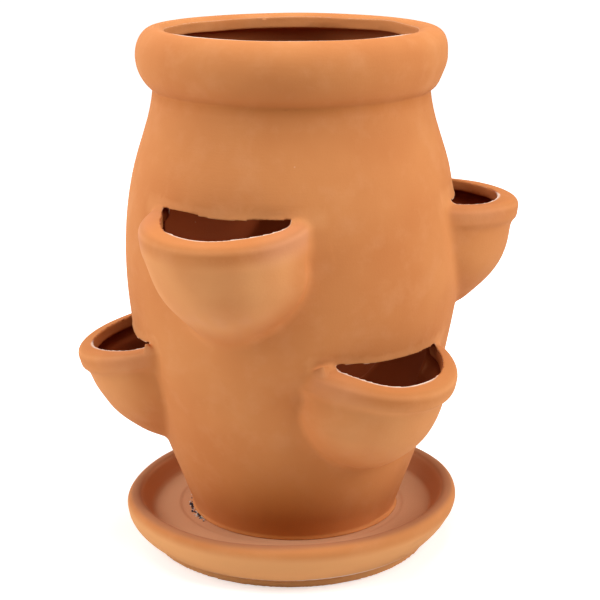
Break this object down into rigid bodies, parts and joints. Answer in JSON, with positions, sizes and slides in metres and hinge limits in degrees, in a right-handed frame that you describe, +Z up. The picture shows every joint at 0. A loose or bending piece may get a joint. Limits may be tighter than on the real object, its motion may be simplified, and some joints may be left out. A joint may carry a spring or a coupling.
{
  "type": "strawberry jar planter",
  "caption": "Round-bellied terracotta strawberry jar with a thick rolled rim and lipped planting pockets bulging from its sides, standing in a shallow saucer.",
  "frame": {"origin": "centre of the saucer's foot ring, on the ground, on the jar's axis", "axes": "+Z up along the jar's axis; one upper pocket faces -Y; the part is the same left and right of the YZ plane"},
  "size_m": [0.2548, 0.2697, 0.319],
  "materials": {
    "jar_terracotta": "matte unglazed fired clay",
    "saucer_terracotta": "matte unglazed fired clay"
  },
  "bodies": {
    "saucer": {"saucer": "saucer_terracotta"},
    "jar": {"jar": "jar_terracotta"}
  },
  "joints": [
    {"name": "jar_lift", "type": "slide", "parent": "saucer", "child": "jar", "axis": [0, 0, 1], "range_m": [0, 0.1]}
  ]
}
